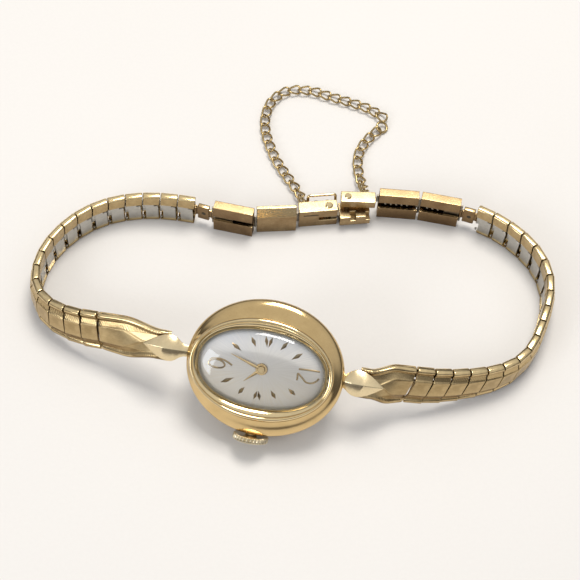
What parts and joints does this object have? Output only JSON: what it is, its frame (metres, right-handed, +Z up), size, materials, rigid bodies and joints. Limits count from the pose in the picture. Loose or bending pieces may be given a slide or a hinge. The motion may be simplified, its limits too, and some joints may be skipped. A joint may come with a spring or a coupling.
{
  "type": "hand-wound watch",
  "caption": "Ladies' hand-wound watch with an oval domed case, winding crown, hinged link bracelet, snap clasp and safety chain, lying closed on its edge.",
  "frame": {"origin": "middle of the footprint, on the surface that the watch lies on", "axes": "+X to the 12 o'clock end of the case, as in the picture; +Y away from the dial side, towards the clasp; +Z up from the surface"},
  "size_m": [0.0674, 0.0569, 0.0134],
  "materials": {
    "gold_satin": "satin rolled gold with worn bright edges",
    "gold_bright": "polished rolled gold",
    "gold_links": "satin rolled gold covers with polished borders over steel plates",
    "steel": "satin steel",
    "blued_steel": "blued",
    "movement_brass": "gilt, fine grained",
    "dial_silver": "silvered sunray dial with gilt markers",
    "crystal": "clear domed crystal"
  },
  "bodies": {
    "case": {"case_body": "gold_satin", "bezel": "gold_bright", "case_back": "steel", "crystal": "crystal", "dial": "dial_silver", "spring_bars": "steel", "main_plate": "movement_brass", "barrel_bridge": "movement_brass", "train_bridge": "movement_brass", "balance_cock": "movement_brass", "bridge_screws": "blued_steel"},
    "winding_pinion": {"winding_pinion": "steel"},
    "winding_stem": {"winding_stem": "steel", "crown": "gold_bright"},
    "crown_wheel": {"crown_wheel": "steel"},
    "ratchet_wheel": {"ratchet_wheel": "steel"},
    "barrel": {"barrel": "movement_brass", "mainspring": "blued_steel"},
    "centre_wheel": {"centre_wheel": "movement_brass"},
    "third_wheel": {"third_wheel": "movement_brass"},
    "fourth_wheel": {"fourth_wheel": "movement_brass"},
    "escape_wheel": {"escape_wheel": "steel"},
    "pallet_fork": {"pallet_fork": "steel"},
    "balance": {"balance_wheel": "movement_brass", "hairspring": "blued_steel"},
    "minute_hand": {"minute_hand": "gold_bright"},
    "hour_hand": {"hour_wheel": "movement_brass", "hour_hand": "gold_bright"},
    "minute_wheel": {"minute_wheel": "movement_brass"},
    "end_piece_left": {"end_piece_left": "gold_satin"},
    "end_piece_right": {"end_piece_right": "gold_satin"},
    "links_left_1": {"links_left_1": "gold_links"},
    "links_left_2": {"links_left_2": "gold_links"},
    "links_left_3": {"links_left_3": "gold_links"},
    "links_left_4": {"links_left_4": "gold_links"},
    "links_left_5": {"links_left_5": "gold_links"},
    "links_left_6": {"links_left_6": "gold_links"},
    "links_left_7": {"links_left_7": "gold_links"},
    "links_left_8": {"links_left_8": "gold_links"},
    "links_left_9": {"links_left_9": "gold_links"},
    "links_right_1": {"links_right_1": "gold_links"},
    "links_right_2": {"links_right_2": "gold_links"},
    "links_right_3": {"links_right_3": "gold_links"},
    "links_right_4": {"links_right_4": "gold_links"},
    "links_right_5": {"links_right_5": "gold_links"},
    "links_right_6": {"links_right_6": "gold_links"},
    "links_right_7": {"links_right_7": "gold_links"},
    "links_right_8": {"links_right_8": "gold_links"},
    "links_right_9": {"links_right_9": "gold_links"},
    "clasp_bar_left_outer": {"clasp_bar_left_outer": "gold_satin"},
    "clasp_bar_left_inner": {"clasp_bar_left_inner": "gold_satin"},
    "snap_block": {"snap_block": "gold_satin"},
    "snap_plate": {"snap_plate": "gold_satin"},
    "clasp_guard": {"clasp_guard": "gold_bright"},
    "catch_block": {"catch_block": "gold_satin"},
    "clasp_bar_right_inner": {"clasp_bar_right_inner": "gold_satin"},
    "clasp_bar_right_outer": {"clasp_bar_right_outer": "gold_satin"},
    "safety_chain_long": {"safety_chain_long": "gold_bright"},
    "safety_chain_short": {"safety_chain_short": "gold_bright"}
  },
  "joints": [
    {"name": "crown_turn", "type": "hinge", "parent": "case", "child": "winding_pinion", "pos_m": [-0.00295, -0.01994, 0.00745], "axis": [-0.096, -0.7821, -0.6157], "continuous": true},
    {"name": "crown_pull", "type": "slide", "parent": "winding_pinion", "child": "winding_stem", "axis": [-0.096, -0.7821, -0.6157], "range_m": [0, 0.0006]},
    {"name": "crown_wheel_turn", "type": "hinge", "parent": "case", "child": "crown_wheel", "pos_m": [-0.00321, -0.02202, 0.00518], "axis": [-0.075, -0.6111, 0.788], "continuous": true},
    {"name": "ratchet_turn", "type": "hinge", "parent": "case", "child": "ratchet_wheel", "pos_m": [-0.00708, -0.01912, 0.00706], "axis": [-0.075, -0.6111, 0.788], "continuous": true},
    {"name": "fourth_wheel_turn", "type": "hinge", "parent": "case", "child": "fourth_wheel", "pos_m": [0.00048, -0.01906, 0.00782], "axis": [-0.075, -0.6111, 0.788], "continuous": true},
    {"name": "third_wheel_turn", "type": "hinge", "parent": "case", "child": "third_wheel", "pos_m": [-0.00126, -0.01851, 0.00809], "axis": [-0.075, -0.6111, 0.788], "continuous": true},
    {"name": "centre_wheel_turn", "type": "hinge", "parent": "case", "child": "centre_wheel", "pos_m": [-0.00291, -0.01963, 0.00706], "axis": [-0.075, -0.6111, 0.788], "continuous": true},
    {"name": "barrel_turn", "type": "hinge", "parent": "case", "child": "barrel", "pos_m": [-0.00708, -0.01912, 0.00706], "axis": [-0.075, -0.6111, 0.788], "continuous": true},
    {"name": "escape_wheel_turn", "type": "hinge", "parent": "case", "child": "escape_wheel", "pos_m": [0.00136, -0.02016, 0.00706], "axis": [-0.075, -0.6111, 0.788], "continuous": true},
    {"name": "pallet_rock", "type": "hinge", "parent": "case", "child": "pallet_fork", "pos_m": [0.00114, -0.02108, 0.00632], "axis": [-0.075, -0.6111, 0.788], "range_deg": [-5, 5]},
    {"name": "balance_swing", "type": "hinge", "parent": "case", "child": "balance", "pos_m": [0.00008, -0.0223, 0.00527], "axis": [-0.075, -0.6111, 0.788], "range_deg": [-220, 220]},
    {"name": "minute_hand_turn", "type": "hinge", "parent": "case", "child": "minute_hand", "pos_m": [-0.00291, -0.01963, 0.00706], "axis": [-0.075, -0.6111, 0.788], "continuous": true},
    {"name": "hour_hand_turn", "type": "hinge", "parent": "case", "child": "hour_hand", "pos_m": [-0.00291, -0.01963, 0.00706], "axis": [-0.075, -0.6111, 0.788], "continuous": true},
    {"name": "minute_wheel_turn", "type": "hinge", "parent": "case", "child": "minute_wheel", "pos_m": [-0.00442, -0.01871, 0.00763], "axis": [-0.075, -0.6111, 0.788], "continuous": true},
    {"name": "left_end_piece_turn", "type": "hinge", "parent": "case", "child": "end_piece_left", "pos_m": [-0.01509, -0.01784, 0.00709], "axis": [0.096, 0.7821, 0.6157], "range_deg": [0, 1]},
    {"name": "left_links_1_turn", "type": "hinge", "parent": "end_piece_left", "child": "links_left_1", "pos_m": [-0.02351, -0.01557, 0.00514], "axis": [0.1049, 0.4545, 0.8845], "range_deg": [0, 1.5]},
    {"name": "left_links_2_turn", "type": "hinge", "parent": "links_left_1", "child": "links_left_2", "pos_m": [-0.02791, -0.01431, 0.00411], "axis": [0.1124, 0.2586, 0.9594], "range_deg": [0, 1.5]},
    {"name": "left_links_3_turn", "type": "hinge", "parent": "links_left_2", "child": "links_left_3", "pos_m": [-0.03165, -0.01164, 0.00331], "axis": [0.1026, 0.0773, 0.9917], "range_deg": [0, 1]},
    {"name": "left_links_4_turn", "type": "hinge", "parent": "links_left_3", "child": "links_left_4", "pos_m": [-0.03299, -0.00724, 0.00278], "axis": [0.0246, -0.0002, 0.9997], "range_deg": [0, 1]},
    {"name": "left_links_5_turn", "type": "hinge", "parent": "links_left_4", "child": "links_left_5", "pos_m": [-0.03186, -0.00271, 0.00265], "axis": [0, 0, 1], "range_deg": [0, 1]},
    {"name": "left_links_6_turn", "type": "hinge", "parent": "links_left_5", "child": "links_left_6", "pos_m": [-0.02914, 0.0011, 0.00265], "axis": [0, 0, 1], "range_deg": [0, 1]},
    {"name": "left_links_7_turn", "type": "hinge", "parent": "links_left_6", "child": "links_left_7", "pos_m": [-0.02531, 0.00379, 0.00265], "axis": [0, 0, 1], "range_deg": [0, 1.5]},
    {"name": "left_links_8_turn", "type": "hinge", "parent": "links_left_7", "child": "links_left_8", "pos_m": [-0.0208, 0.00508, 0.00265], "axis": [0, 0, 1], "range_deg": [0, 1.5]},
    {"name": "left_links_9_turn", "type": "hinge", "parent": "links_left_8", "child": "links_left_9", "pos_m": [-0.01611, 0.00525, 0.00265], "axis": [0, 0, 1], "range_deg": [0, 1.5]},
    {"name": "clasp_bar_left_outer_turn", "type": "hinge", "parent": "links_left_9", "child": "clasp_bar_left_outer", "pos_m": [-0.01137, 0.00449, 0.00265], "axis": [0, 0, 1], "range_deg": [0, 2]},
    {"name": "clasp_bar_left_inner_turn", "type": "hinge", "parent": "clasp_bar_left_outer", "child": "clasp_bar_left_inner", "pos_m": [-0.00571, 0.0042, 0.00265], "axis": [0, 0, 1], "range_deg": [0, 2]},
    {"name": "snap_block_turn", "type": "hinge", "parent": "clasp_bar_left_inner", "child": "snap_block", "pos_m": [-0.00021, 0.00558, 0.00265], "axis": [0, 0, 1], "range_deg": [0, 2]},
    {"name": "right_end_piece_turn", "type": "hinge", "parent": "case", "child": "end_piece_right", "pos_m": [0.00933, -0.02084, 0.00709], "axis": [-0.096, -0.7821, -0.6157], "range_deg": [0, 1]},
    {"name": "right_links_1_turn", "type": "hinge", "parent": "end_piece_right", "child": "links_right_1", "pos_m": [0.01519, -0.01967, 0.00514], "axis": [0.0488, -0.4639, -0.8845], "range_deg": [0, 2]},
    {"name": "right_links_2_turn", "type": "hinge", "parent": "links_right_1", "child": "links_right_2", "pos_m": [0.01972, -0.01899, 0.00411], "axis": [0.0634, -0.2747, -0.9594], "range_deg": [0, 2]},
    {"name": "right_links_3_turn", "type": "hinge", "parent": "links_right_2", "child": "links_right_3", "pos_m": [0.02416, -0.01768, 0.00331], "axis": [0.045, -0.1204, -0.9917], "range_deg": [0, 2]},
    {"name": "right_links_4_turn", "type": "hinge", "parent": "links_right_3", "child": "links_right_4", "pos_m": [0.02827, -0.01549, 0.00278], "axis": [0.0158, -0.0188, -0.9997], "range_deg": [0, 2]},
    {"name": "right_links_5_turn", "type": "hinge", "parent": "links_right_4", "child": "links_right_5", "pos_m": [0.03101, -0.01172, 0.00265], "axis": [0, 0, -1], "range_deg": [0, 1.5]},
    {"name": "right_links_6_turn", "type": "hinge", "parent": "links_right_5", "child": "links_right_6", "pos_m": [0.0325, -0.00727, 0.00265], "axis": [0, 0, -1], "range_deg": [0, 0.8]},
    {"name": "right_links_7_turn", "type": "hinge", "parent": "links_right_6", "child": "links_right_7", "pos_m": [0.03303, -0.00262, 0.00265], "axis": [0, 0, -1], "range_deg": [0, 0.8]},
    {"name": "right_links_8_turn", "type": "hinge", "parent": "links_right_7", "child": "links_right_8", "pos_m": [0.03136, 0.00174, 0.00265], "axis": [0, 0, -1], "range_deg": [0, 0.8]},
    {"name": "right_links_9_turn", "type": "hinge", "parent": "links_right_8", "child": "links_right_9", "pos_m": [0.02804, 0.00505, 0.00265], "axis": [0, 0, -1], "range_deg": [0, 0.8]},
    {"name": "clasp_bar_right_outer_turn", "type": "hinge", "parent": "links_right_9", "child": "clasp_bar_right_outer", "pos_m": [0.0215, 0.0078, 0.00265], "axis": [0, 0, -1], "range_deg": [0, 2]},
    {"name": "clasp_bar_right_inner_turn", "type": "hinge", "parent": "clasp_bar_right_outer", "child": "clasp_bar_right_inner", "pos_m": [0.01591, 0.00849, 0.00265], "axis": [0, 0, -1], "range_deg": [0, 2]},
    {"name": "catch_block_turn", "type": "hinge", "parent": "clasp_bar_right_inner", "child": "catch_block", "pos_m": [0.01027, 0.00829, 0.00265], "axis": [0, 0, -1], "range_deg": [0, 2]},
    {"name": "snap_plate_turn", "type": "hinge", "parent": "snap_block", "child": "snap_plate", "pos_m": [0.00389, 0.0068, 0.0016], "axis": [0, 0, 1], "range_deg": [-8, 8]},
    {"name": "guard_fold", "type": "hinge", "parent": "snap_block", "child": "clasp_guard", "pos_m": [0.00314, 0.00778, 0.0025], "axis": [-0.9833, -0.1822, 0], "range_deg": [0, 60]},
    {"name": "chain_swing", "type": "hinge", "parent": "snap_block", "child": "safety_chain_long", "pos_m": [0.00048, 0.00732, 0.0029], "axis": [0.9747, 0.2012, 0.0969], "range_deg": [0, 70]},
    {"name": "chain_short_swing", "type": "hinge", "parent": "catch_block", "child": "safety_chain_short", "pos_m": [0.00853, 0.00898, 0.0037], "axis": [0.9747, 0.2012, 0.0969], "range_deg": [0, 70]}
  ],
  "couplings": [
    {"joint": "crown_wheel_turn", "follows": "crown_turn", "ratio": 0.63636},
    {"joint": "ratchet_turn", "follows": "crown_turn", "ratio": -0.33333},
    {"joint": "third_wheel_turn", "follows": "fourth_wheel_turn", "ratio": -0.13333},
    {"joint": "centre_wheel_turn", "follows": "fourth_wheel_turn", "ratio": 0.016667},
    {"joint": "barrel_turn", "follows": "fourth_wheel_turn", "ratio": -0.0033333},
    {"joint": "escape_wheel_turn", "follows": "fourth_wheel_turn", "ratio": -10},
    {"joint": "hour_hand_turn", "follows": "minute_hand_turn", "ratio": 0.083333},
    {"joint": "minute_wheel_turn", "follows": "minute_hand_turn", "ratio": -0.375},
    {"joint": "chain_short_swing", "follows": "chain_swing", "ratio": 1}
  ]
}
